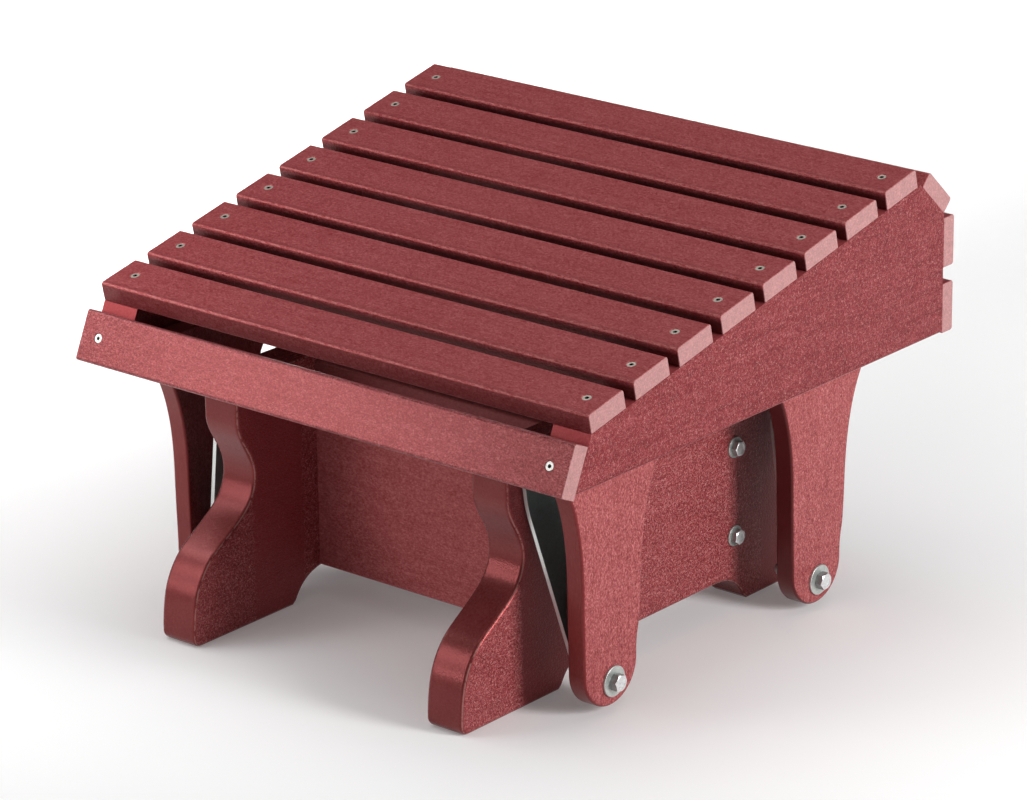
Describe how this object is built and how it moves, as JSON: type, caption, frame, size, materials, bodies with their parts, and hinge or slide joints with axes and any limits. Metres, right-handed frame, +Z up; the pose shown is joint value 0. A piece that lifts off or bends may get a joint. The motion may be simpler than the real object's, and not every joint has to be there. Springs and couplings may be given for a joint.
{
  "type": "glider ottoman",
  "caption": "Outdoor glider ottoman: sloped slatted seat with drop legs, hung on four steel swing straps from a low two-panel base with S-curved ends.",
  "frame": {"origin": "on the floor under the middle of the object's outer box at rest", "axes": "+X right along the slats, +Y back towards the high end of the seat, +Z up"},
  "size_m": [0.58, 0.5854, 0.4148],
  "materials": {
    "poly_lumber": "dark cherry red recycled plastic lumber, fine speckle, satin-matte",
    "strap_steel": "flat bar, dull grey",
    "zinc_hardware": "bright zinc plating",
    "screw_steel": "stainless, dull",
    "bushing_nylon": "black nylon"
  },
  "bodies": {
    "base": {"base_side_left": "poly_lumber", "base_side_right": "poly_lumber", "cross_board_front": "poly_lumber", "cross_board_rear": "poly_lumber", "base_lag_bolts": "zinc_hardware", "base_lag_washers": "zinc_hardware", "upper_pivot_bolts": "zinc_hardware", "upper_pivot_washers": "zinc_hardware", "upper_pivot_nuts": "zinc_hardware"},
    "swing_strap_front_left": {"strap_front_left": "strap_steel", "bushings_front_left": "bushing_nylon"},
    "swing_strap_front_right": {"strap_front_right": "strap_steel", "bushings_front_right": "bushing_nylon"},
    "swing_strap_rear_left": {"strap_rear_left": "strap_steel", "bushings_rear_left": "bushing_nylon"},
    "swing_strap_rear_right": {"strap_rear_right": "strap_steel", "bushings_rear_right": "bushing_nylon"},
    "seat": {"side_rail_left": "poly_lumber", "side_rail_right": "poly_lumber", "top_slat_1": "poly_lumber", "top_slat_2": "poly_lumber", "top_slat_3": "poly_lumber", "top_slat_4": "poly_lumber", "top_slat_5": "poly_lumber", "top_slat_6": "poly_lumber", "top_slat_7": "poly_lumber", "top_slat_8": "poly_lumber", "corner_slat": "poly_lumber", "rear_slat_upper": "poly_lumber", "rear_slat_lower": "poly_lumber", "front_apron": "poly_lumber", "drop_leg_front_left": "poly_lumber", "drop_leg_front_right": "poly_lumber", "drop_leg_rear_left": "poly_lumber", "drop_leg_rear_right": "poly_lumber", "top_slat_screws": "screw_steel", "rear_slat_screws": "screw_steel", "apron_screws": "screw_steel", "leg_screws": "screw_steel", "lower_pivot_bolts": "zinc_hardware", "lower_pivot_washers": "zinc_hardware", "lower_pivot_nuts": "zinc_hardware"}
  },
  "joints": [
    {"name": "glide", "type": "hinge", "parent": "base", "child": "swing_strap_front_left", "pos_m": [-0.187, -0.191, 0.222], "axis": [1, 0, 0], "range_deg": [-10, 10]},
    {"name": "front_right_strap_swing", "type": "hinge", "parent": "base", "child": "swing_strap_front_right", "pos_m": [0.187, -0.191, 0.222], "axis": [1, 0, 0], "range_deg": [-10.1, 10.1]},
    {"name": "rear_left_strap_swing", "type": "hinge", "parent": "base", "child": "swing_strap_rear_left", "pos_m": [-0.187, 0.1708, 0.222], "axis": [1, 0, 0], "range_deg": [-10.1, 10.1]},
    {"name": "rear_right_strap_swing", "type": "hinge", "parent": "base", "child": "swing_strap_rear_right", "pos_m": [0.187, 0.1708, 0.222], "axis": [1, 0, 0], "range_deg": [-10.1, 10.1]},
    {"name": "seat_on_front_left_strap", "type": "hinge", "parent": "swing_strap_front_left", "child": "seat", "pos_m": [-0.2195, -0.1628, 0.0285], "axis": [1, 0, 0], "range_deg": [-11.9, 11.9]}
  ],
  "couplings": [
    {"joint": "front_right_strap_swing", "follows": "glide", "ratio": 1},
    {"joint": "rear_left_strap_swing", "follows": "glide", "ratio": 1},
    {"joint": "rear_right_strap_swing", "follows": "glide", "ratio": 1},
    {"joint": "seat_on_front_left_strap", "follows": "glide", "ratio": -1.183}
  ]
}
